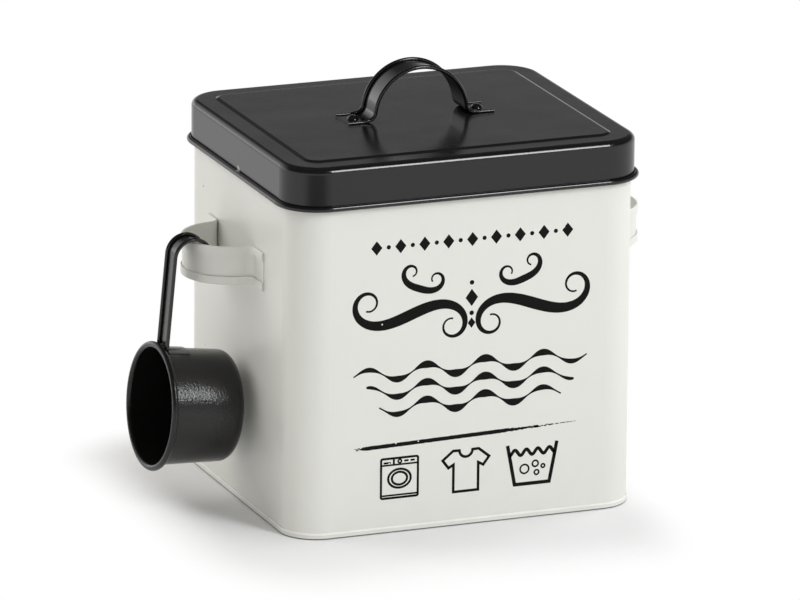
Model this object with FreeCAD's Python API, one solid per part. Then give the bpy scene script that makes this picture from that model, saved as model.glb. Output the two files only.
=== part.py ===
import FreeCAD, Part
import os
from math import acos, asin, cos, degrees, radians, sin, tan

# Laundry powder box of painted sheet metal: a seamed box with two strap handles, a lift-off lid
# with a riveted strap handle, and a scoop that hangs by its hook from the left handle.
# Millimetres. The origin is the middle of the base, on the surface that the box stands on.
# +X is right, +Y is back, +Z is up.

# ---- box ----
body_width = 200.0            # over the side walls
body_depth = 172.0            # over the front and back walls
body_height = 206.3           # from the floor to the top of the curled rim
corner_radius = 20.0          # outside of the upright corners
body_sheet = 0.5
rim_curl_radius = 1.5         # outside of the inward curl at the top
rim_curl_turn = 285.0         # degrees that the edge is curled through
lap_width = 5.0               # overlap of the welded seam at the middle of the back

# ---- base, seamed over the foot of the wall ----
base_sheet = 0.4
seam_height = 3.7             # height of the band that shows outside
seam_bend = 0.3
seam_gap = 0.05               # play of the wall's edge inside the seam
base_bend = 1.0               # where the seam's inner leg turns into the flat base
base_ring = 8.0               # width of the flat that joins the seam to the middle of the base

# ---- lid ----
lid_sheet = 0.5
lid_depth = 23.8              # from the bottom of the bead to the band round the top
lid_lap = 1.8                 # outside of the skirt beyond the outside of the wall
lid_rest = 0.3                # the band lies this far above the rim's crown
lid_edge_radius = 3.5         # outside, where the skirt turns into the top
bead_radius = 1.5             # outside of the bead rolled outwards at the foot of the skirt
bead_turn = 300.0
panel_inset = 15.1            # from the outside of the skirt to the edge of the raised panel
panel_raise = 0.75
panel_slope = 25.0            # degrees, of the step up to the panel
panel_bend = 1.0

# ---- straps: the long edges of every strip are turned outwards ----
strap_sheet = 0.6
hem_radius = 1.1              # outside of the edge curled on the lid's handle and the scoop's strap
hem_turn = 280.0
pressed_hem_radius = 0.7      # the same curl, pressed down on the feet
pressed_hem_turn = 250.0
press_length = 3.0            # over which the curl gets lower
fold_width = 4.6              # of the edge folded back flat on the side handles
fold_gap = 0.2                # inside the fold
arch_radius = 25.9            # middle of the strip
strap_bend = 5.5              # where a foot turns up into the arch
foot_length = 11.2            # flat part of a foot

lid_handle_width = 20.6
lid_handle_rise = 27.4        # middle of the strip, from foot to crown
lid_handle_right = 1.5        # its middle lies this far right of the lid's
lid_handle_forward = 0.7      # and this far in front of it
side_handle_width = 21.4
side_handle_rise = 29.3
side_handle_height = 138.8    # middle of the strap above the floor
side_handle_shift = 3.0       # from the wall's middle: back on the left, forward on the right

# ---- rivets ----
rivet_from_end = 6.3          # from the foot's end to the rivet
rivet_shank = 1.5             # radius
rivet_play = 0.1
rivet_head = 3.4              # radius of the dome
rivet_head_height = 2.2
rivet_tail = 2.4              # radius of the closed head under the lid
rivet_tail_height = 1.0

# ---- scoop ----
scoop_sheet = 0.5
scoop_depth = 44.9            # over the rim and the bottom
scoop_mouth_radius = 31.9     # middle of the wall at the rim
scoop_draft = 2.5             # degrees that the wall closes in
scoop_bottom_radius = 5.75    # middle of the sheet, round the bottom
scoop_curl_radius = 1.8       # outside of the rolled rim
scoop_curl_turn = 300.0
scoop_strap_width = 14.5
scoop_strap_gap = 0.1         # between the rolled rim and the strap behind it
tab_length = 11.5             # of the tab welded along the cup
tab_lap = 1.2                 # that the tab's sheet runs up into the upright leg
tab_gap = 0.05
tab_bend = 1.2
hook_radius = 9.3             # inside of the hook
hook_centre = 84.0            # height of the hook's centre above the cup's axis
hook_return = 8.0             # straight part after the hook
scoop_tilt = 5.4              # degrees, the mouth leaning up as it hangs
scoop_turn = 1.3              # degrees, seen from above
scoop_along = -4.0            # place of the hook on the left side, + to the back
hook_aside = 0.9              # its middle lies this far outside the middle of the handle's edge
hook_play = 0.2               # between the hook and the edge that it rests on

# ---- what follows from them ----
corner_x = body_width / 2 - corner_radius
corner_y = body_depth / 2 - corner_radius
lid_reach = corner_radius + lid_lap                      # outside of the skirt from a corner's axis
lid_top = body_height + lid_rest + lid_sheet
panel_top = lid_top + panel_raise
strap_depth = 2 * hem_radius - strap_sheet / 2           # curled edge above the strip's middle
fold_bend = (strap_sheet + fold_gap) / 2                 # middle of the sheet in a folded edge


def point(x, y, z):
    return FreeCAD.Vector(x, y, z)


def join(solids):
    """One solid from several that share faces or overlap."""
    return solids[0].multiFuse(solids[1:]).removeSplitter().Solids[0]


def walk(start, heading, moves):
    """Follow a bent line in a plane and list its steps.

    A move is ("go", length) or ("bend", radius, angle); a positive angle, in degrees, turns left.
    Each step is (move, place, heading) before the move is made.
    """
    steps = []
    u, v = start
    for move in moves:
        steps.append((move, (u, v), heading))
        if move[0] == "go":
            u += move[1] * cos(radians(heading))
            v += move[1] * sin(radians(heading))
        else:
            side = 1 if move[2] > 0 else -1
            normal = radians(heading + 90 * side)
            centre = (u + move[1] * cos(normal), v + move[1] * sin(normal))
            heading += move[2]
            back = radians(heading - 90 * side)
            u, v = centre[0] + move[1] * cos(back), centre[1] + move[1] * sin(back)
    return steps


def strip(start, heading, moves, thickness):
    """Outline of a bent sheet seen on its edge, from the walk of its middle line.

    Returns the outline's lines and arcs in order, as tuples of two or three points.
    """
    sides = []
    for side in (-1, 1):
        offset = side * thickness / 2
        pieces = []
        for move, (u, v), turned in walk(start, heading, moves):
            normal = radians(turned + 90)
            first = (u + offset * cos(normal), v + offset * sin(normal))
            if move[0] == "go":
                ahead = radians(turned)
                last = (first[0] + move[1] * cos(ahead), first[1] + move[1] * sin(ahead))
                pieces.append((first, last))
            else:
                turn = 1 if move[2] > 0 else -1
                radius = move[1] - turn * offset
                centre = (u + turn * move[1] * cos(normal), v + turn * move[1] * sin(normal))
                spokes = [radians(turned - 90 * turn + part * move[2]) for part in (0, 0.5, 1)]
                spots = [(centre[0] + radius * cos(a), centre[1] + radius * sin(a)) for a in spokes]
                pieces.append(tuple(spots))
        sides.append(pieces)
    right, left = sides
    back = [tuple(reversed(piece)) for piece in reversed(left)]
    return right + [(right[-1][-1], back[0][0])] + back + [(back[-1][-1], right[0][0])]


def face(outline, place):
    """A flat face from an outline, each of whose points place(u, v) puts into space."""
    edges = []
    for piece in outline:
        spots = [place(u, v) for u, v in piece]
        curve = Part.LineSegment(*spots) if len(spots) == 2 else Part.Arc(*spots)
        edges.append(curve.toShape())
    return Part.Face(Part.Wire(edges))


def around(outline):
    """Carry a section right round the box: along its four sides and about its four corner axes.

    The outline's first measure runs outwards from a corner's axis and its second upwards.
    """
    solids = []
    corner = point(corner_x, -corner_y, 0)
    for side in range(4):
        angle = radians(90 * side)
        outwards = point(round(cos(angle)), round(sin(angle)), 0)
        along = point(-outwards.y, outwards.x, 0)
        length = 2 * (corner_y if side % 2 == 0 else corner_x)
        run = face(outline, lambda u, v: corner + outwards * u + point(0, 0, v))
        solids.append(run.extrude(along * length))
        corner = corner + along * length
        bend = face(outline, lambda u, v: corner + outwards * u + point(0, 0, v))
        solids.append(bend.revolve(corner, point(0, 0, 1), 90))
    return join(solids)


def plate(reach, bottom, thickness):
    """A flat plate whose edge lies reach outside the corner axes, with corners of that radius."""
    out_x = corner_x + reach
    out_y = corner_y + reach
    wide = Part.makeBox(2 * out_x, 2 * corner_y, thickness, point(-out_x, -corner_y, bottom))
    deep = Part.makeBox(2 * corner_x, 2 * out_y, thickness, point(-corner_x, -out_y, bottom))
    posts = [
        Part.makeCylinder(reach, thickness, point(x, y, bottom))
        for x in (-corner_x, corner_x)
        for y in (-corner_y, corner_y)
    ]
    return join([wide, deep] + posts)


def carried(outline, start, heading, moves, place, axis):
    """Carry a section along a bent path.

    The outline's first measure runs across the strip and its second to the path's left.
    place(u, v, w) puts path and width into space; axis is the direction of a left turn.
    """
    solids = []
    for move, (u, v), turned in walk(start, heading, moves):
        left = radians(turned + 90)
        section = face(outline, lambda w, n: place(u + n * cos(left), v + n * sin(left), w))
        if move[0] == "go":
            ahead = radians(turned)
            reach = place(cos(ahead), sin(ahead), 0) - place(0, 0, 0)
            solids.append(section.extrude(reach * move[1]))
        else:
            turn = 1 if move[2] > 0 else -1
            centre = place(u + turn * move[1] * cos(left), v + turn * move[1] * sin(left), 0)
            solids.append(section.revolve(centre, axis * turn, abs(move[2])))
    return join(solids)


def hemmed_section(width, radius=hem_radius, turn=hem_turn):
    """Section of a strap: a flat strip whose two edges are curled up on one side."""
    curl = radius - strap_sheet / 2
    flat = width / 2 - radius
    angle = radians(270 - turn)
    start = (-flat + curl * cos(angle), curl + curl * sin(angle))
    moves = [("bend", curl, turn), ("go", 2 * flat), ("bend", curl, turn)]
    return strip(start, 360 - turn, moves, strap_sheet)


def folded_section(width):
    """Section of a strap: a flat strip whose two edges are folded back flat on one side."""
    edge = fold_bend + strap_sheet / 2
    flat = width / 2 - edge
    back = fold_width - edge
    moves = [("go", back), ("bend", fold_bend, 180), ("go", 2 * flat), ("bend", fold_bend, 180), ("go", back)]
    return strip((back - flat, 2 * fold_bend), 180, moves, strap_sheet)


def handle_lean(rise):
    """The angle, in degrees, that a handle's strip turns up from its feet."""
    return degrees(acos(1 - rise / (arch_radius + strap_bend)))


def handle_reach(rise):
    """Half the distance between the flats of a handle's two feet."""
    return (arch_radius + strap_bend) * sin(radians(handle_lean(rise)))


def handle_frame(seat, along, outwards):
    """How a handle's path and width lie in space, and the axis of its bends.

    seat is the middle of its seat on the sheet.
    """
    axis = along.cross(outwards)
    return lambda u, v, w: seat + along * u + outwards * v + axis * w, axis


def bent_arch(section, rise, place, axis):
    """The arch of a handle, from the flat of one foot to the flat of the other."""
    lean = handle_lean(rise)
    moves = [("bend", strap_bend, lean), ("bend", arch_radius, -2 * lean), ("bend", strap_bend, lean)]
    return carried(section, (-handle_reach(rise), strap_sheet / 2), 0, moves, place, axis)


def flat_foot(section, start, length, place, axis):
    """A straight stretch of strip that lies on the sheet."""
    return carried(section, (start, strap_sheet / 2), 0, [("go", length)], place, axis)


def make_body_wall():
    """The wrapped wall: it stands in the base's seam and ends in an inward curl."""
    foot = base_sheet + seam_gap
    curl = rim_curl_radius - body_sheet / 2
    shoulder = body_height - rim_curl_radius
    moves = [("go", shoulder - foot), ("bend", curl, rim_curl_turn)]
    shell = around(strip((corner_radius - body_sheet / 2, foot), 90, moves, body_sheet))
    lap_foot = seam_height + seam_gap
    lap_place = point(-lap_width / 2, body_depth / 2 - body_sheet / 2, lap_foot)
    lap_depth = body_sheet / 2 + body_sheet              # half of it inside the wall
    lap = Part.makeBox(lap_width, lap_depth, shoulder - lap_foot, lap_place)
    return join([shell, lap])


def make_base_panel():
    """The base: a channel that holds the wall's foot, and a flat lifted off the floor inside it."""
    outer_leg = corner_radius + seam_gap + base_sheet / 2
    inner_leg = corner_radius - body_sheet - seam_gap - base_sheet / 2
    low = base_sheet / 2
    level = seam_height - base_sheet / 2
    moves = [
        ("go", seam_height - low - seam_bend),
        ("bend", seam_bend, -90),
        ("go", outer_leg - inner_leg - 2 * seam_bend),
        ("bend", seam_bend, -90),
        ("go", level - low - seam_bend - base_bend),
        ("bend", base_bend, 90),
        ("go", base_ring),
    ]
    channel = around(strip((outer_leg, seam_height), 270, moves, base_sheet))
    middle = plate(inner_leg - base_bend - base_ring, level - base_sheet / 2, base_sheet)
    return join([channel, middle])


def make_lid_shell():
    """The drawn lid: raised panel, sloped step, band, rounded edge, skirt and rolled bead."""
    level = panel_top - lid_sheet / 2
    step = (panel_raise - 2 * panel_bend * (1 - cos(radians(panel_slope)))) / sin(radians(panel_slope))
    step_width = 2 * panel_bend * sin(radians(panel_slope)) + step * cos(radians(panel_slope))
    edge = lid_edge_radius - lid_sheet / 2
    curl = bead_radius - lid_sheet / 2
    panel_edge = lid_reach - panel_inset
    inner = panel_edge / 2
    skirt = lid_depth - lid_edge_radius - bead_radius
    moves = [
        ("go", panel_edge - inner),
        ("bend", panel_bend, -panel_slope),
        ("go", step),
        ("bend", panel_bend, panel_slope),
        ("go", panel_inset - step_width - lid_edge_radius),
        ("bend", edge, -90),
        ("go", skirt),
        ("bend", curl, bead_turn),
    ]
    shell = around(strip((inner, level), 0, moves, lid_sheet))
    middle = plate(inner, level - lid_sheet / 2, lid_sheet)
    return cut_rivet_holes(join([shell, middle]))


def rivet_spots():
    """Where the two rivets of the lid's handle stand."""
    reach = handle_reach(lid_handle_rise) + foot_length - rivet_from_end
    return [point(lid_handle_right + side * reach, -lid_handle_forward, panel_top) for side in (-1, 1)]


def cut_rivet_holes(shape):
    """Drill a sheet for the two rivets of the lid's handle."""
    span = 2 * (panel_raise + lid_sheet + strap_depth + strap_sheet)
    for spot in rivet_spots():
        drill = Part.makeCylinder(rivet_shank + rivet_play, span, spot - point(0, 0, span / 2))
        shape = shape.cut(drill)
    return shape.Solids[0]


def make_lid_handle():
    """The lid's strap, its curled edges pressed down on both feet, which are drilled."""
    seat = point(lid_handle_right, -lid_handle_forward, panel_top)
    along = point(1, 0, 0)
    place, axis = handle_frame(seat, along, point(0, 0, 1))
    curled = hemmed_section(lid_handle_width)
    pressed = hemmed_section(lid_handle_width, pressed_hem_radius, pressed_hem_turn)
    start = handle_reach(lid_handle_rise)
    ends = [
        face(section, lambda w, n: place(u, strap_sheet / 2 + n, w)).OuterWire
        for section, u in ((curled, start), (pressed, start + press_length))
    ]
    flat = flat_foot(pressed, start + press_length, foot_length - press_length, place, axis)
    foot = join([Part.makeLoft(ends, True, True), flat])
    arch = bent_arch(curled, lid_handle_rise, place, axis)
    return cut_rivet_holes(join([arch, foot, foot.mirror(seat, along)]))


def make_rivet(spot):
    """A domed rivet through a foot and the lid, closed underneath."""
    dome = (rivet_head**2 + rivet_head_height**2) / (2 * rivet_head_height)
    middle = strap_sheet + rivet_head_height - dome
    rim = degrees(asin((strap_sheet - middle) / dome))
    head = Part.makeSphere(dome, spot + point(0, 0, middle), point(0, 0, 1), rim, 90, 360)
    under = spot - point(0, 0, lid_sheet)
    shank = Part.makeCylinder(rivet_shank, strap_sheet + lid_sheet, under)
    tail = Part.makeCylinder(rivet_tail, rivet_tail_height, under - point(0, 0, rivet_tail_height))
    return join([head, shank, tail])


def make_side_handle(side):
    """A strap welded flat to a side wall; side is -1 on the left and 1 on the right."""
    seat = point(side * body_width / 2, -side * side_handle_shift, side_handle_height)
    along = point(0, -side, 0)
    place, axis = handle_frame(seat, along, point(side, 0, 0))
    section = folded_section(side_handle_width)
    arch = bent_arch(section, side_handle_rise, place, axis)
    foot = flat_foot(section, handle_reach(side_handle_rise), foot_length, place, axis)
    return join([arch, foot, foot.mirror(seat, along)])


def handle_edge_x(y):
    """Middle of the left handle's folded edge, at a place along the wall."""
    edge_radius = arch_radius + fold_bend
    crown = body_width / 2 + strap_sheet / 2 + side_handle_rise + fold_bend
    return edge_radius - (edge_radius**2 - (y - side_handle_shift) ** 2) ** 0.5 - crown


def scoop_wall():
    """Where the middle of the cup's wall meets its rolled rim: (along the axis, radius)."""
    curl = scoop_curl_radius - scoop_sheet / 2
    return scoop_curl_radius - curl * sin(radians(scoop_draft)), scoop_mouth_radius


def scoop_leg():
    """Where the middle of the scoop's strap stands along the cup's axis, behind the rim."""
    return 2 * scoop_curl_radius + scoop_strap_gap + strap_depth


def hang(shape):
    """Hang what is built about the cup's axis (mouth at 0, bottom towards +X) on the left handle.

    The handle's edge curves away from the hook's middle, so the hook rests on it with one side.
    """
    middle = handle_edge_x(scoop_along) - hook_aside
    side = handle_edge_x(scoop_along - scoop_strap_width / 2) - middle
    edge = side_handle_height + side_handle_width / 2
    seat = point(middle, scoop_along, edge + hook_play - (hook_radius**2 - side**2) ** 0.5)
    centre = point(scoop_leg() + hook_radius + strap_sheet / 2, 0, hook_centre)
    shape.rotate(centre, point(0, 1, 0), scoop_tilt)
    shape.rotate(centre, point(0, 0, 1), scoop_turn)
    shape.translate(seat - centre)
    return shape


def make_scoop_cup():
    """The drawn cup: flat bottom, rounded heel, slightly conical wall and rolled rim."""
    draft = radians(scoop_draft)
    rim_u, rim_v = scoop_wall()
    bottom = scoop_depth - scoop_sheet / 2
    heel_u = bottom - scoop_bottom_radius * (1 - sin(draft))
    wall = (heel_u - rim_u) / cos(draft)
    flat = rim_v - wall * sin(draft) - scoop_bottom_radius * cos(draft)
    moves = [
        ("go", flat),
        ("bend", scoop_bottom_radius, 90 - scoop_draft),
        ("go", wall),
        ("bend", scoop_curl_radius - scoop_sheet / 2, -scoop_curl_turn),
    ]
    section = face(strip((bottom, 0), 90, moves, scoop_sheet), lambda u, v: point(u, 0, v))
    return hang(section.revolve(point(0, 0, 0), point(1, 0, 0), 360).Solids[0])


def make_scoop_handle():
    """The scoop's strap: a tab formed to the cup, an upright leg and a hook with a short return."""
    draft = radians(scoop_draft)
    rim_u, rim_v = scoop_wall()
    leg = scoop_leg()
    lift = scoop_sheet / 2 + tab_gap + strap_sheet / 2
    heel = rim_v + lift / cos(draft) - (leg - rim_u) * tan(draft)
    tangent = tab_bend * tan(radians(90 - scoop_draft) / 2)
    foot = heel + tangent
    tab_moves = [("go", tab_lap), ("bend", tab_bend, 90 - scoop_draft), ("go", tab_length)]
    tab_section = face(strip((leg, foot + tab_lap), 270, tab_moves, strap_sheet), lambda u, v: point(u, 0, v))
    spread = degrees(asin(scoop_strap_width / rim_v))    # to either side, wider than the strap
    tab_section.rotate(point(0, 0, 0), point(1, 0, 0), -spread)
    tab = tab_section.revolve(point(0, 0, 0), point(1, 0, 0), 2 * spread)
    width = Part.makeBox(scoop_depth, scoop_strap_width, hook_centre, point(0, -scoop_strap_width / 2, 0))
    moves = [
        ("go", hook_centre - foot),
        ("bend", hook_radius + strap_sheet / 2, -180),
        ("go", hook_return),
    ]
    place = lambda u, v, w: point(u, w, v)
    strap = carried(hemmed_section(scoop_strap_width), (leg, foot), 90, moves, place, point(0, -1, 0))
    return hang(join([strap, tab.common(width)]))


pieces = {
    "body_wall": make_body_wall(),
    "base_panel": make_base_panel(),
    "side_handle_left": make_side_handle(-1),
    "side_handle_right": make_side_handle(1),
    "lid_shell": make_lid_shell(),
    "lid_handle": make_lid_handle(),
    "lid_rivet_left": make_rivet(rivet_spots()[0]),
    "lid_rivet_right": make_rivet(rivet_spots()[1]),
    "scoop_cup": make_scoop_cup(),
    "scoop_handle": make_scoop_handle(),
}

os.makedirs("parts", exist_ok=True)
for name, shape in pieces.items():
    shape.exportStep("parts/" + name + ".step")
    print(name, "solids", len(shape.Solids), "valid", shape.isValid(), "volume", round(shape.Volume, 1))
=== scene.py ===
import math

import bpy
import numpy as np
from mathutils import Matrix, Vector


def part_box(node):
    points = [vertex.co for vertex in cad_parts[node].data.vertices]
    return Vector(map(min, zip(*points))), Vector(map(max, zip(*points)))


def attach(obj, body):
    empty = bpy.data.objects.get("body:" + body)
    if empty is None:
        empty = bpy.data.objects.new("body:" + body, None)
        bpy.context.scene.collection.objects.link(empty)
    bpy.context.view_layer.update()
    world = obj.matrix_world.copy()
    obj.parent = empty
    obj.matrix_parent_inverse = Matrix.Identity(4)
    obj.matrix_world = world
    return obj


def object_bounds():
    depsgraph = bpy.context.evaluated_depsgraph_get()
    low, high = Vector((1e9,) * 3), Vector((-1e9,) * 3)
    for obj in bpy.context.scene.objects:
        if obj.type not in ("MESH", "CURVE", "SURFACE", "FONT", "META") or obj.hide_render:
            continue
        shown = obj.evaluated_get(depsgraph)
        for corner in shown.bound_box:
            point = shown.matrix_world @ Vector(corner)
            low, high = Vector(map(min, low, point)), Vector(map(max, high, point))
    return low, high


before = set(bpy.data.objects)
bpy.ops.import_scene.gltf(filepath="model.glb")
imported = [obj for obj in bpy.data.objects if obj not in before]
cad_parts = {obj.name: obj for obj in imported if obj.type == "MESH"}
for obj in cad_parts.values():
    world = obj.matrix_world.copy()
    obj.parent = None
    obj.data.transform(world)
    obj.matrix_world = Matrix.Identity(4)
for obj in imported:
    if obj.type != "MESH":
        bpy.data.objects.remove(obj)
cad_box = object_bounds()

# Looks of a laundry powder box: an off-white sheet-metal box with a print in black ink on its front,
# and a lid, a lid handle and a scoop in satin black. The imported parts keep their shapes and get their
# finishes here. The print, the floor, the lamps and the camera are added. Metres, +Z up, front at -Y.

MM = 0.001

# Colours, linear.
OFF_WHITE = (0.77, 0.77, 0.725)
BLACK = (0.0055, 0.0052, 0.0051)
INK = (0.0040, 0.0038, 0.0034)
BARE_PRIMER = (0.33, 0.32, 0.30)
# Painted highlight along the top edge of the seam round the foot.
PAINTED_HIGHLIGHT = (0.93, 0.93, 0.90)
# Painted contact shadow along the foot of the seam, at the floor.
PAINTED_CONTACT_SHADE = (0.16, 0.155, 0.145)
DARK_DUST = (0.22, 0.21, 0.19)
FLOOR_WHITE = (0.868, 0.870, 0.874)
PLAIN_WHITE = (1.0, 1.0, 1.0)
WARM = (1.0, 0.985, 0.955)
COOL = (0.965, 0.985, 1.0)

# Roughness of the off-white coat and of the ink, each from and to.
SATIN = (0.30, 0.42)
MATT = (0.45, 0.60)

# Black coats: scale and height of the peel, roughness from and to, and gloss.
LID_COAT = ((420.0, 0.35), (0.13, 0.18), 0.50)
CUP_COAT = ((900.0, 2.4), (0.20, 0.25), 0.46)
STRAP_COAT = ((420.0, 0.8), (0.17, 0.23), 0.65)

# Relief of the coats and of the ink.
COAT_RELIEF = 0.06 * MM
INK_RELIEF = 0.03 * MM

# The seam round the foot has a painted highlight along its top edge, and a line of painted contact
# shadow just above the floor.
HIGHLIGHT_STRIP = 1.1 * MM
CONTACT_SHADE_HEIGHT = 0.7 * MM

# The chip in the lid's left skirt: how far its middle lies inside the bead's outer edge, towards the
# front and above the bead's foot, its radius, and how far its outline strays.
CHIP_INSET = 2.5 * MM
CHIP_FORWARD = 4.0 * MM
CHIP_RISE = 3.9 * MM
CHIP_RADIUS = 1.9 * MM
CHIP_RAGGED = 1.6 * MM

# The paper round the box goes over to plain white between these distances from its foot. The eye
# sees that nearer than reflections do, and each side of the box stretches its own distances. On the
# right they count from a line inside the foot, because the shade lies mostly to the left.
SEEN_REACH = (0.025, 0.080)
MIRRORED_REACH = (0.24, 0.48)
STRETCH = {"right": 1.7, "left": 1.1, "back": 1.3, "front": 0.72}
RIGHT_INSET = 0.030

# Reflections see a round patch of the paper dimmed, where the camera stands over it: its middle as
# an azimuth in degrees and a distance, where its edge starts and ends, and how dim it is.
PATCH_AZIMUTH = -24
PATCH_DISTANCE = 0.80
PATCH_EDGE = (0.18, 0.54)
PATCH_DIMMING = 0.7

# Reflections see a white backdrop that fades between the horizon and this height of a unit vector,
# and a glow behind on the left that fades between two angles from its middle, in degrees.
BACKDROP_FADE = (0.0, 0.335)
BACKDROP_DIMMING = 0.92
GLOW_AZIMUTH = -148
GLOW_ELEVATION = 3
GLOW_EDGE = (42, 8)

# Strength of the even light from all round.
AMBIENT = 0.49

# The lamps, in degrees and metres, all turned to the middle of the box. Gloss mirrors only the key.
# name, azimuth, elevation, distance, width, height, watts, colour, mirrored
SOFTBOXES = (
    ("lamp_key", 25, 34, 2.0, 0.4, 0.85, 17.6, COOL, True),
    ("lamp_right", 98, 35, 2.0, 1.0, 1.0, 10.5, COOL, False),
    ("lamp_left_back", -125, 40, 2.0, 1.0, 1.0, 8.9, WARM, False),
    ("lamp_left_low", -140, 18, 2.2, 1.2, 0.6, 8.2, WARM, False),
)


# ---------------------------------------------------------------- shader helpers


def make_node(tree, kind, values=None, **settings):
    """A shader node with its settings, and its input sockets set or linked by name."""
    node = tree.nodes.new("ShaderNode" + kind)
    for key, value in settings.items():
        setattr(node, key, value)
    for name, value in (values or {}).items():
        socket = node.inputs[name]
        if isinstance(value, bpy.types.NodeSocket):
            tree.links.new(value, socket)
        elif isinstance(value, tuple) and len(value) == 3 and len(socket.default_value) == 4:
            socket.default_value = value + (1.0,)
        else:
            socket.default_value = value
    return node


def maths(tree, operation, *values):
    """The result of a Math node."""
    node = make_node(tree, "Math", dict(enumerate(values)), operation=operation)
    return node.outputs[0]


def vector_maths(tree, operation, first, second):
    """The outputs of a Vector Math node, for two vectors or for a vector and what scales it."""
    other = "Scale" if operation == "SCALE" else 1
    return make_node(tree, "VectorMath", {0: first, other: second}, operation=operation).outputs


def blend_colours(tree, share, first, second):
    """A colour between two, by a share from 0 to 1."""
    node = make_node(tree, "Mix", data_type="RGBA")
    for index, value in ((0, share), (6, first), (7, second)):
        if isinstance(value, bpy.types.NodeSocket):
            tree.links.new(value, node.inputs[index])
        else:
            node.inputs[index].default_value = value + (1.0,) if isinstance(value, tuple) else value
    return node.outputs[2]


def spread(tree, value, low, high):
    """Stretch a value from 0..1 to low..high."""
    names = {"Value": value, "To Min": low, "To Max": high}
    return make_node(tree, "MapRange", names).outputs["Result"]


def new_group(name, inputs, outputs):
    """An empty node group with number sockets and one vector socket; returns it with its two ends."""
    group = bpy.data.node_groups.new(name, "ShaderNodeTree")
    group.interface.new_socket("Vector", in_out="INPUT", socket_type="NodeSocketVector")
    for key, value in inputs.items():
        socket = group.interface.new_socket(key, in_out="INPUT", socket_type="NodeSocketFloat")
        socket.default_value = value
    for key in outputs:
        group.interface.new_socket(key, in_out="OUTPUT", socket_type="NodeSocketFloat")
    start = group.nodes.new("NodeGroupInput")
    end = group.nodes.new("NodeGroupOutput")
    return group, start.outputs, end.inputs


def use_group(tree, group, values):
    """A node group placed in a material; returns its outputs."""
    node = make_node(tree, "Group", node_tree=group)
    for name, value in values.items():
        if isinstance(value, bpy.types.NodeSocket):
            tree.links.new(value, node.inputs[name])
        else:
            node.inputs[name].default_value = value
    return node.outputs


def make_coat_grain():
    """Surface of a sprayed coat: fine peel, long waves in the sheet under it, and slow cloudiness."""
    group, given, made = new_group(
        "coat_grain", {"Peel Scale": 900.0, "Peel": 1.0, "Waves": 1.0}, ("Height", "Cloud")
    )
    at = given["Vector"]
    peel = make_node(group, "TexNoise", {"Vector": at, "Scale": given["Peel Scale"], "Detail": 2.0})
    waves = make_node(group, "TexNoise", {"Vector": at, "Scale": 22.0, "Detail": 1.0})
    cloud = make_node(group, "TexNoise", {"Vector": at, "Scale": 45.0, "Detail": 4.0, "Roughness": 0.6})
    fine = maths(group, "MULTIPLY", peel.outputs[0], given["Peel"])
    broad = maths(group, "MULTIPLY", waves.outputs[0], given["Waves"])
    group.links.new(maths(group, "ADD", fine, broad), made["Height"])
    group.links.new(cloud.outputs[0], made["Cloud"])
    return group


def make_specks():
    """Small scattered dots, all of them different in size, in a Share of a grid's cells."""
    group, given, made = new_group(
        "specks", {"Scale": 300.0, "Share": 0.02, "Size": 0.25}, ("Mask",)
    )
    cells = make_node(group, "TexVoronoi", {"Vector": given["Vector"], "Scale": given["Scale"]})
    chance = make_node(group, "SeparateColor", {"Color": cells.outputs["Color"]}).outputs
    chosen = maths(group, "LESS_THAN", chance[0], given["Share"])
    reach = maths(group, "MULTIPLY", given["Size"], maths(group, "ADD", chance[1], 0.3))
    dot = maths(group, "LESS_THAN", cells.outputs["Distance"], reach)
    group.links.new(maths(group, "MULTIPLY", chosen, dot), made["Mask"])
    return group


def shade(colour, share):
    """A colour times a number: darker under 1, lighter over 1."""
    return tuple(share * part for part in colour)


def new_material(name):
    """A new material; returns it with its node tree, its Principled BSDF and its Object coordinates."""
    material = bpy.data.materials.new(name)
    material.use_nodes = True
    tree = material.node_tree
    tree.nodes.clear()
    shader = make_node(tree, "BsdfPrincipled")
    at = make_node(tree, "TexCoord").outputs["Object"]
    return material, tree, shader, at


def show_surface(tree, surface):
    """Make a shader the surface of its material."""
    end = make_node(tree, "OutputMaterial")
    tree.links.new(surface, end.inputs["Surface"])


def set_finish(tree, shader, colour, roughness, gloss, height, relief):
    """Give a shader its colour, roughness, gloss and relief, and show it."""
    tree.links.new(colour, shader.inputs["Base Color"])
    tree.links.new(roughness, shader.inputs["Roughness"])
    shader.inputs["Specular IOR Level"].default_value = gloss
    bump = make_node(tree, "Bump", {"Height": height, "Distance": relief, "Strength": 1.0})
    tree.links.new(bump.outputs["Normal"], shader.inputs["Normal"])
    show_surface(tree, shader.outputs[0])


# ---------------------------------------------------------------- finishes


def off_white_coat(name, grain, specks, seamed=False):
    """Satin off-white coat: faint clouds, fine peel and dark specks; where it is seamed, a painted
    highlight and a painted contact shadow.
    """
    material, tree, shader, at = new_material(name)
    coat = use_group(tree, grain, {"Vector": at, "Peel Scale": 700.0, "Peel": 0.25, "Waves": 1.0})
    dust = use_group(tree, specks, {"Vector": at, "Scale": 90.0, "Share": 0.025, "Size": 0.04})
    colour = blend_colours(tree, coat["Cloud"], shade(OFF_WHITE, 0.965), OFF_WHITE)
    colour = blend_colours(tree, dust["Mask"], colour, DARK_DUST)
    if seamed:
        colour = seam_highlight_and_shade(tree, at, colour)
    roughness = spread(tree, coat["Cloud"], *SATIN)
    set_finish(tree, shader, colour, roughness, 0.5, coat["Height"], COAT_RELIEF)
    return material


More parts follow.
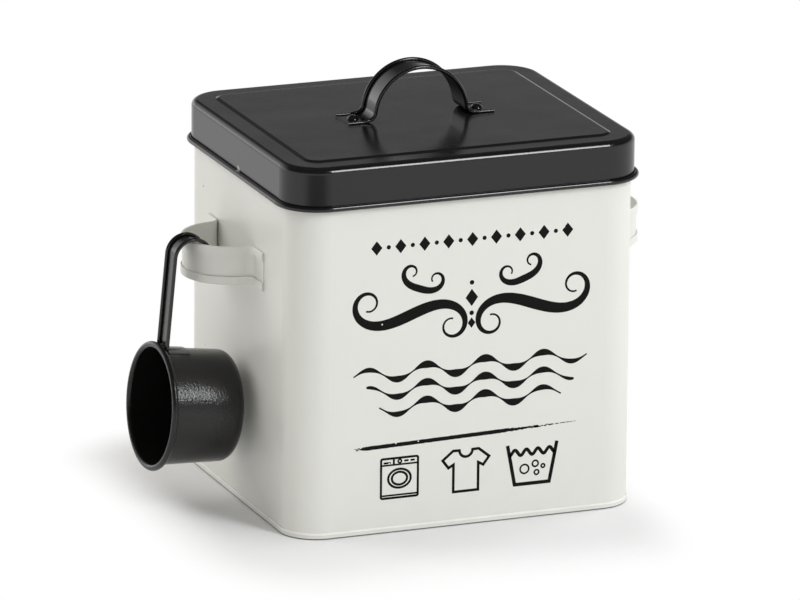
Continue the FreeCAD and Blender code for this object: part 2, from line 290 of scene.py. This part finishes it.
def seam_highlight_and_shade(tree, at, colour):
    """The seam round the foot: a patchy painted highlight along its upper edge, and a line of painted
    contact shadow at the floor.
    """
    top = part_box("base_panel")[1].z
    up = make_node(tree, "SeparateXYZ", {0: at}).outputs["Z"]
    # Painted highlight: a patchy pale strip along the seam's top edge.
    along_top_edge = maths(tree, "GREATER_THAN", up, top - HIGHLIGHT_STRIP)
    patchy = make_node(tree, "TexNoise", {"Vector": at, "Scale": 160.0, "Detail": 3.0}).outputs[0]
    share = maths(tree, "MULTIPLY", along_top_edge, spread(tree, patchy, 0.25, 1.3))
    colour = blend_colours(tree, share, colour, PAINTED_HIGHLIGHT)
    # Painted contact shadow: a dark strip just above the floor.
    return blend_colours(tree, maths(tree, "LESS_THAN", up, CONTACT_SHADE_HEIGHT), colour, PAINTED_CONTACT_SHADE)


def chip_mask(tree, at):
    """A chip in the lid's left skirt, just above the bead: a small ragged round."""
    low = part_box("lid_shell")[0]
    middle = (low.x + CHIP_INSET, -CHIP_FORWARD, low.z + CHIP_RISE)
    ragged = make_node(tree, "TexNoise", {"Vector": at, "Scale": 900.0, "Detail": 1.0}).outputs[1]
    centred = vector_maths(tree, "SUBTRACT", ragged, (0.5, 0.5, 0.5))[0]
    astray = vector_maths(tree, "SCALE", centred, CHIP_RAGGED)[0]
    moved = vector_maths(tree, "ADD", at, astray)[0]
    away = vector_maths(tree, "DISTANCE", moved, middle)["Value"]
    return maths(tree, "LESS_THAN", away, CHIP_RADIUS)


def black_coat(name, grain, specks, peel, roughness, gloss, chipped=False):
    """Black coat: fine peel, tiny pale specks of dust, and on the lid a chip in its left skirt."""
    material, tree, shader, at = new_material(name)
    coat = use_group(tree, grain, {"Vector": at, "Peel Scale": peel[0], "Peel": peel[1], "Waves": 2.5})
    dust = use_group(tree, specks, {"Vector": at, "Scale": 110.0, "Share": 0.05, "Size": 0.035})
    colour = blend_colours(tree, coat["Cloud"], BLACK, shade(BLACK, 1.35))
    colour = blend_colours(tree, maths(tree, "MULTIPLY", dust["Mask"], 0.3), colour, BARE_PRIMER)
    if chipped:
        colour = blend_colours(tree, chip_mask(tree, at), colour, BARE_PRIMER)
    roughness = spread(tree, coat["Cloud"], *roughness)
    set_finish(tree, shader, colour, roughness, gloss, coat["Height"], COAT_RELIEF)
    return material


def print_ink(grain, specks):
    """Matt black printing ink with a few pinholes through to the coat."""
    material, tree, shader, at = new_material("print_ink")
    coat = use_group(tree, grain, {"Vector": at, "Peel Scale": 1500.0, "Peel": 0.2, "Waves": 0.0})
    holes = use_group(tree, specks, {"Vector": at, "Scale": 420.0, "Share": 0.02, "Size": 0.16})
    colour = blend_colours(tree, coat["Cloud"], INK, shade(INK, 1.5))
    colour = blend_colours(tree, holes["Mask"], colour, OFF_WHITE)
    roughness = spread(tree, coat["Cloud"], *MATT)
    set_finish(tree, shader, colour, roughness, 0.1, coat["Height"], INK_RELIEF)
    return material


def past_edge(tree, value, edge, stretch):
    """How far a value lies past an edge, stretched, or nothing short of it."""
    past = maths(tree, "MAXIMUM", maths(tree, "SUBTRACT", value, edge), 0.0)
    return maths(tree, "MULTIPLY", past, stretch)


def fade(tree, value, first, last):
    """A soft step from 0 at the first value to 1 at the last."""
    names = {"Value": value, "From Min": first, "From Max": last}
    return make_node(tree, "MapRange", names, interpolation_type="SMOOTHSTEP").outputs["Result"]


def sight(tree):
    """Masks of the rays that come straight from the eye, and of those that come by a reflection."""
    path = make_node(tree, "LightPath").outputs
    mirrored = maths(tree, "MAXIMUM", path["Is Glossy Ray"], path["Is Transmission Ray"])
    return path["Is Camera Ray"], mirrored


def beyond_foot(tree, at):
    """How far a point of the floor lies outside the box's foot, with each side stretched its own way."""
    place = make_node(tree, "SeparateXYZ", {0: at}).outputs
    low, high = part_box("body_wall")
    right = past_edge(tree, place["X"], high.x - RIGHT_INSET, STRETCH["right"])
    left = past_edge(tree, maths(tree, "MULTIPLY", place["X"], -1.0), -low.x, STRETCH["left"])
    back = past_edge(tree, place["Y"], high.y, STRETCH["back"])
    front = past_edge(tree, maths(tree, "MULTIPLY", place["Y"], -1.0), -low.y, STRETCH["front"])
    across = maths(tree, "ADD", right, left)
    along = maths(tree, "ADD", back, front)
    away = make_node(tree, "CombineXYZ", {"X": across, "Y": along}).outputs[0]
    return make_node(tree, "VectorMath", {0: away}, operation="LENGTH").outputs["Value"]


def floor_paper():
    """Matt white paper that keeps the box's shadow; further off, eye and reflections see it white.

    Reflections also see a dim patch in front, where the camera stands over the paper.
    """
    material, tree, shader, at = new_material("floor_paper")
    cloud = make_node(tree, "TexNoise", {"Vector": at, "Scale": 3.0, "Detail": 2.0}).outputs[0]
    paper = blend_colours(tree, cloud, shade(FLOOR_WHITE, 0.985), FLOOR_WHITE)
    tree.links.new(paper, shader.inputs["Base Color"])
    shader.inputs["Roughness"].default_value = 0.9
    shader.inputs["Specular IOR Level"].default_value = 0.0
    away = beyond_foot(tree, at)
    seen, mirrored = sight(tree)
    seen_white = maths(tree, "MULTIPLY", seen, fade(tree, away, *SEEN_REACH))
    mirrored_white = maths(tree, "MULTIPLY", mirrored, fade(tree, away, *MIRRORED_REACH))
    patch = tuple(direction(PATCH_AZIMUTH, 0) * PATCH_DISTANCE)
    from_patch = vector_maths(tree, "DISTANCE", at, patch)["Value"]
    inside = maths(tree, "SUBTRACT", 1.0, fade(tree, from_patch, *PATCH_EDGE))
    dimmed = maths(tree, "MULTIPLY", maths(tree, "MULTIPLY", inside, PATCH_DIMMING), mirrored)
    level = maths(tree, "SUBTRACT", 1.0, dimmed)
    white = make_node(tree, "Emission", {"Color": PLAIN_WHITE, "Strength": level})
    share = maths(tree, "ADD", seen_white, mirrored_white)
    both = make_node(tree, "MixShader", {0: share, 1: shader.outputs[0], 2: white.outputs[0]})
    show_surface(tree, both.outputs[0])
    return material


def finish_parts():
    """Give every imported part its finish; returns the ink for the print."""
    grain = make_coat_grain()
    specks = make_specks()
    white = off_white_coat("off_white_coat", grain, specks)
    finishes = {
        "base_panel": off_white_coat("off_white_seam", grain, specks, seamed=True),
        "scoop_cup": black_coat("scoop_black", grain, specks, *CUP_COAT),
        "scoop_handle": black_coat("strap_black", grain, specks, *STRAP_COAT),
    }
    lid_black = black_coat("lid_black", grain, specks, *LID_COAT, chipped=True)
    for name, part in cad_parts.items():
        plain = lid_black if name.startswith("lid") else white
        part.data.materials.clear()
        part.data.materials.append(finishes.get(name, plain))
        part.data.polygons.foreach_set("material_index", np.zeros(len(part.data.polygons), np.int32))
    return print_ink(grain, specks)


# ---------------------------------------------------------------- print on the front wall

# The print is ink that stands a little proud of the front wall. Its shapes are drawn in millimetres
# on that wall: x to the right, z up.
INK_PROUD = 0.03
INK_ROOT = 0.02
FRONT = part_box("body_wall")[0].y / MM


def line(points, width, closed=False):
    """A line of ink: each point is moved half the width to either side along its corner's mitre.

    The mitre is the sum of the normals of the two stretches that meet there, over 1 plus their dot
    product. Returns the left side, the right side and whether the line closes on itself.
    """
    points = np.asarray(points, float)
    ahead = np.roll(points, -1, 0) - points
    ahead /= np.linalg.norm(ahead, axis=1, keepdims=True)
    normal = np.stack([-ahead[:, 1], ahead[:, 0]], 1)
    before = np.roll(normal, 1, 0)
    if not closed:
        before[0] = normal[0]
        normal[-1] = before[-1]
    mitre = (normal + before) / (1 + (normal * before).sum(1, keepdims=True))
    half = np.reshape(width, (-1, 1)) / 2
    return points + mitre * half, points - mitre * half, closed


def arc(middle, radius, first, last, steps):
    """Points of a round: middle + radius * (cos a, sin a), for a from first to last in degrees."""
    angle = np.radians(np.linspace(first, last, steps))
    return np.stack([middle[0] + radius * np.cos(angle), middle[1] + radius * np.sin(angle)], 1)


def circle(middle, radius, steps=40):
    """A closed round of points, anticlockwise from its right."""
    return arc(middle, radius, 0, 360, steps + 1)[:-1]


def rounded_box(left, low, right, high, radius):
    """A box whose corners are quarter rounds, anticlockwise from its foot on the right."""
    turns = (
        (right - radius, low + radius, -90),
        (right - radius, high - radius, 0),
        (left + radius, high - radius, 90),
        (left + radius, low + radius, 180),
    )
    return np.concatenate([arc((x, z), radius, first, first + 90, 6) for x, z, first in turns])


def scroll(length, lean, turn, tightening, thin, thick, one_way, steps=240):
    """A pen stroke that rolls up at both ends.

    Its heading at t from -1 to 1 is lean + turn * |t| ** tightening, with t's sign where it turns one
    way all along. Its place is the running sum of cos and sin of the heading, with its middle at 0,
    and its width swells from thin to thick as cos(pi t / 2) squared. Returns places and widths.
    """
    t = np.linspace(-1, 1, steps)
    sense = np.sign(t) if one_way else 1.0
    heading = np.radians(lean + turn * sense * np.abs(t) ** tightening)
    place = np.stack([np.cumsum(np.cos(heading)), np.cumsum(np.sin(heading))], 1) * length / steps
    return place - place[steps // 2], thin + (thick - thin) * np.cos(np.pi * t / 2) ** 2


def band_mesh(left, right, closed):
    """Corners of a thin solid between two lines, a ring of four at each point, and its faces.

    Each side of a ring is joined to the same side of the next. An open band also gets two ends.
    """
    depth = np.array([-INK_PROUD, -INK_PROUD, INK_ROOT, INK_ROOT]) + FRONT
    flat = np.stack([left, right, right, left], 1)
    corners = np.insert(flat, 1, depth[None, :], 2).reshape(-1, 3)
    rings = np.arange(len(corners)).reshape(-1, 4)
    here, ahead = rings, np.roll(rings, -1, 0)
    if not closed:
        here, ahead = here[:-1], ahead[:-1]
    sides = np.stack([here, np.roll(here, -1, 1), np.roll(ahead, -1, 1), ahead], 2).reshape(-1, 4)
    if closed:
        return corners, [sides]
    return corners, [sides, np.stack([rings[0, ::-1], rings[-1]])]


def spot_mesh(outline):
    """Corners of a thin solid inside a closed outline that runs anticlockwise, and its faces."""
    layers = [np.insert(outline, 1, FRONT + depth, 1) for depth in (-INK_PROUD, INK_ROOT)]
    count = len(outline)
    here = np.arange(count)
    ahead = np.roll(here, -1)
    flats = np.stack([here, here[::-1] + count])
    return np.concatenate(layers), [flats, np.stack([here, here + count, ahead + count, ahead], 1)]


def print_piece(name, shapes, ink):
    """One printed figure from lines (three values) and filled outlines (point arrays)."""
    corners, faces = [], []
    start = 0
    for shape in shapes:
        points, blocks = band_mesh(*shape) if isinstance(shape, tuple) else spot_mesh(shape)
        for block in blocks:
            faces += (block + start).tolist()
        start += len(points)
        corners.append(points)
    mesh = bpy.data.meshes.new(name)
    mesh.from_pydata((np.concatenate(corners) * MM).tolist(), [], faces)
    mesh.materials.append(ink)
    piece = bpy.data.objects.new(name, mesh)
    bpy.context.scene.collection.objects.link(piece)
    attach(piece, "box")


def diamond_row(left, low, right, high, count):
    """Diamonds evenly spaced along a row, a little narrower than high, with a dot between each two."""
    middle, half = (low + high) / 2, (high - low) / 2
    reach = 0.8 * half
    centres = np.linspace(left + reach, right - reach, count)
    dots = (centres[1:] + centres[:-1]) / 2
    diamond = np.array([(-reach, 0), (0, -half), (reach, 0), (0, half)])
    return [diamond + (x, middle) for x in centres] + [circle((x, middle), 0.3 * half) for x in dots]


def flourish(left, low, right, high):
    """A pen flourish and its mirror image: a long double scroll, a small one, diamonds and dots."""
    middle = np.array([(left + right) / 2, (low + high) / 2])
    strokes = (
        (scroll(134.0, -20, 400, 2.3, 1.0, 6.4, False), (36.0, -3.0)),
        (scroll(58.0, 20, 330, 2.0, 0.9, 4.0, True), (30.5, 11.5)),
    )
    shapes = []
    for (places, widths), moved in strokes:
        shapes += [line((places + moved) * (side, 1) + middle, widths) for side in (1, -1)]
    diamond = np.array([(-1, 0), (0, -1.35), (1, 0), (0, 1.35)])
    shapes += [diamond * reach + middle + (0, up) for up, reach in ((3.6, 3.6), (-10.5, 2.2))]
    return shapes + [circle(middle + (0, up), 1.3) for up in (12.0, -5.0)]


def water_lines(left, low, right, high, count, waves):
    """Rows of water, each a sine whose width swells as the sine squared and tapers to both ends.

    Each row is inset a little more than the one above it, at both ends.
    """
    pitch = (high - low) / count
    rise, thin, thick = 0.34 * pitch, 0.8, 0.46 * pitch
    shapes = []
    for k in range(count):
        inset = 0.055 * k * (right - left)
        t = np.linspace(0, 1, 320)
        across = left + inset + (right - left - 2 * inset) * t
        turn = 2 * np.pi * waves * (across - left) / (right - left)
        up = high - (k + 0.5) * pitch + rise * np.sin(turn)
        taper = np.sin(np.pi * t) ** 0.4
        width = thin + (thick - thin) * np.sin(turn) ** 2 * taper
        shapes.append(line(np.stack([across, up], 1), width))
    return shapes


def ramp(t, first, last):
    """A straight rise from 0 at the first value to 1 at the last, and level outside them."""
    return np.clip((t - first) / (last - first), 0, 1)


def brush_line(chance):
    """A dry brush stroke: a band with roughened sides that thins out and ends in loose flecks.

    Its half width grows as a square root at its start, and narrows in a straight line near its end.
    Random bites are taken out of both sides, deeper at the two ends, and one nick out of the upper.
    """
    first, last = np.array([-62.6, 48.6]), np.array([37.4, 51.1])
    half_width = 1.16
    t = np.linspace(0, 1, 420)[:, None]
    middle = first + (last - first) * t
    rise = np.array([-(last - first)[1], (last - first)[0]]) / np.linalg.norm(last - first)
    grown = ramp(t, 0, 0.03) ** 0.5
    thinned = 1 - 0.4 * ramp(t, 0.84, 1)
    rough = 0.06 + 0.2 * ramp(t, 0.80, 0.90) + 0.2 * (1 - ramp(t, 0, 0.05))
    nick = 1 - 0.85 * np.exp(-(((t - 0.212) / 0.0035) ** 2))
    bristles = np.linspace(0, 1, 150)
    sides = []
    for share in (nick, 1):
        bite = np.interp(t, bristles, chance.random(bristles.size) ** 2)
        sides.append(half_width * grown * thinned * (1 - 2 * rough * bite) * share)
    shapes = [(middle + rise * sides[0], middle - rise * sides[1], False)]
    fleck = circle((0, 0), 1, 9)
    for spot in np.sort(chance.random(80)) ** 1.25:
        centre = last + (25.5 * spot, 0.8 * spot + (chance.random() - 0.5) * 1.1 * (1 - spot))
        long = (0.3 + 1.0 * chance.random()) * (1 - 0.5 * spot)
        high = (0.15 + 0.3 * chance.random()) * (1 - 0.5 * spot)
        ragged = 0.75 + 0.25 * chance.random((len(fleck), 1))
        shapes.append(fleck * (long, high) * ragged + centre)
    for spot in chance.random(14):
        centre = first + (-2.6 * spot, (chance.random() - 0.5) * 1.5)
        shapes.append(fleck * (0.25 + 0.45 * chance.random(), 0.15) + centre)
    return shapes


def washer_sign(left, low, right, high):
    """A front-loading washing machine in outline, with a door that is a little wider than high."""
    outline, edge, ring, mark = 1.3, 1.0, 1.3, 1.1
    inset = 0.5
    middle, door = (left + right) / 2, (low + high) / 2 - 0.4
    divider, knob = middle - 3.3, high - 2.4
    panel, plinth = high - 4.2, low + 2.0
    shell = rounded_box(left + inset, low + inset, right - inset, high - inset, 0.9)
    shapes = [line(shell, outline, True)]
    shapes += [line([(left + inset, z), (right - inset, z)], edge) for z in (panel, plinth)]
    shapes.append(line([(divider, panel), (divider, high - inset)], 1.2))
    for radius in (6.5, 4.4):
        shapes.append(line(circle((0, 0), radius) * (1, 0.81) + (middle, door), ring, True))
    shapes.append(line(circle((middle + 0.15, knob), 0.95, 24), 0.95, True))
    marks = (
        (left + 1.9, left + 6.1, knob - 0.5),
        (middle + 2.7, middle + 5.2, knob),
        (middle + 6.3, middle + 8.8, knob),
    )
    return shapes + [line([(first, z), (last, z)], mark) for first, last, z in marks]


def shirt_sign(middle, low, high):
    """A short-sleeved shirt in outline: a round neck, then the right half, then its mirror."""
    neck = arc((0, high - 0.3), 3.8, 180, 360, 14)
    half = np.array(
        [(7.4, high - 0.2), (13.5, high - 5.1), (10.1, high - 9.6), (7.2, high - 8.0), (7.2, low)]
    )
    outline = np.concatenate([neck, half, half[::-1] * (-1, 1)])
    return [line(outline + (middle, 0), 1.55, True)]


def basin_sign(left, low, right, high):
    """A wash basin with suds in it; its water is a cosine of four waves."""
    slant, inset = 4.3, 1.0
    wall = [(left, high), (left + slant, low), (right - slant, low), (right, high)]
    t = np.linspace(0, 1, 65)
    across = left + inset + (right - left - 2 * inset) * t
    water = high - 4.6 - 1.6 * np.cos(8 * np.pi * t)
    shapes = [line(wall, 2.05), line(np.stack([across, water], 1), 1.9)]
    suds = ((10.0, 8.4, 2.5), (16.3, 10.9, 1.7), (17.1, 5.9, 1.3), (20.8, 9.2, 1.0))
    return shapes + [line(circle((left + x, low + z), radius, 32), 1.0, True) for x, z, radius in suds]


def print_front(ink):
    """The print, from the top of the wall down: each figure's left, low, right and high limits."""
    chance = np.random.default_rng(seed=7)
    figures = {
        "print_diamonds": diamond_row(-56.6, 156.0, 60.0, 164.0, count=9),
        "print_flourish": flourish(-66.5, 107.4, 69.7, 140.3),
        "print_water": water_lines(-66.2, 64.7, 69.0, 94.2, count=3, waves=4),
        "print_brush_line": brush_line(chance),
        "print_washer": washer_sign(-50.4, 18.95, -28.1, 42.2),
        "print_shirt": shirt_sign(middle=-0.8, low=19.0, high=42.4),
        "print_basin": basin_sign(23.4, 19.3, 52.2, 41.8),
    }
    for name, shapes in figures.items():
        print_piece(name, shapes, ink)


# ---------------------------------------------------------------- surroundings


def lay_floor():
    """A flat square grid for the floor, just under the box."""
    reach, count = 12.0, 9
    drop = 0.02 * MM
    steps = np.linspace(-reach, reach, count)
    x, y = np.meshgrid(steps, steps)
    points = np.stack([x.ravel(), y.ravel(), np.full(x.size, cad_box[0].z - drop)], 1)
    index = np.arange(x.size).reshape(x.shape)
    corners = [index[:-1, :-1], index[:-1, 1:], index[1:, 1:], index[1:, :-1]]
    faces = np.stack([c.ravel() for c in corners], 1)
    mesh = bpy.data.meshes.new("floor")
    mesh.from_pydata(points.tolist(), [], faces.tolist())
    floor = bpy.data.objects.new("floor", mesh)
    bpy.context.scene.collection.objects.link(floor)
    mesh.materials.append(floor_paper())


def direction(azimuth, elevation):
    """Unit vector towards an azimuth (0 at the front, positive to the right) and an elevation."""
    a, e = math.radians(azimuth), math.radians(elevation)
    return Vector((math.sin(a) * math.cos(e), -math.cos(a) * math.cos(e), math.sin(e)))


def hang_lamps():
    """Soft lamps round the box, all turned to its middle."""
    middle = (cad_box[0] + cad_box[1]) / 2
    for name, azimuth, elevation, distance, width, height, watts, colour, mirrored in SOFTBOXES:
        data = bpy.data.lights.new(name, "AREA")
        data.shape = "RECTANGLE"
        data.size, data.size_y = width, height
        data.energy = watts
        data.color = colour
        lamp = bpy.data.objects.new(name, data)
        lamp.visible_glossy = mirrored
        towards = direction(azimuth, elevation)
        lamp.location = middle + towards * distance
        lamp.rotation_mode = "QUATERNION"
        lamp.rotation_quaternion = towards.to_track_quat("Z", "Y")
        bpy.context.scene.collection.objects.link(lamp)


def paint_room():
    """The room: a dim even light, and for eye and reflections a white backdrop that fades upwards.

    Reflections also see a soft glow behind on the left, as of a big screen there.
    """
    world = bpy.data.worlds.new("room")
    world.use_nodes = True
    tree = world.node_tree
    tree.nodes.clear()
    towards = make_node(tree, "TexCoord").outputs["Generated"]
    up = make_node(tree, "SeparateXYZ", {0: towards}).outputs["Z"]
    dimmed = maths(tree, "MULTIPLY", fade(tree, up, *BACKDROP_FADE), BACKDROP_DIMMING)
    backdrop = maths(tree, "SUBTRACT", 1.0, dimmed)
    screen = tuple(direction(GLOW_AZIMUTH, GLOW_ELEVATION))
    facing = vector_maths(tree, "DOT_PRODUCT", towards, screen)["Value"]
    glow = fade(tree, facing, *(math.cos(math.radians(angle)) for angle in GLOW_EDGE))
    seen, mirrored = sight(tree)
    level = maths(tree, "MULTIPLY", maths(tree, "ADD", backdrop, glow), mirrored)
    level = maths(tree, "MAXIMUM", level, seen)
    even = make_node(tree, "Background", {"Color": WARM, "Strength": AMBIENT})
    white = make_node(tree, "Background", {"Color": PLAIN_WHITE, "Strength": level})
    share = maths(tree, "MAXIMUM", seen, mirrored)
    both = make_node(tree, "MixShader", {0: share, 1: even.outputs[0], 2: white.outputs[0]})
    tree.links.new(both.outputs[0], make_node(tree, "OutputWorld").inputs["Surface"])
    bpy.context.scene.world = world


def set_camera():
    """A long lens, to the left of the front and above, turned a little about its own axis."""
    azimuth, elevation, roll = -21.54, 16.18, 0.51
    distance = 4.8096
    focal_length = 396.3
    target = Vector((-5.1, 2.0, 102.6)) * MM
    back = direction(azimuth, elevation)
    turn = math.radians(azimuth)
    right = Vector((math.cos(turn), math.sin(turn), 0))
    up = back.cross(right)
    data = bpy.data.cameras.new("camera")
    data.sensor_width = 36.0
    data.lens = focal_length
    camera = bpy.data.objects.new("camera", data)
    axes = Matrix((right, up, back)).transposed().to_4x4()
    place = Matrix.Translation(target + back * distance)
    camera.matrix_world = place @ axes @ Matrix.Rotation(math.radians(roll), 4, "Z")
    bpy.context.scene.collection.objects.link(camera)
    bpy.context.scene.camera = camera


def set_view():
    """Plain colours, as they are written."""
    bpy.context.scene.view_settings.view_transform = "Standard"


set_camera()
set_view()
print_front(finish_parts())
lay_floor()
hang_lamps()
paint_room()
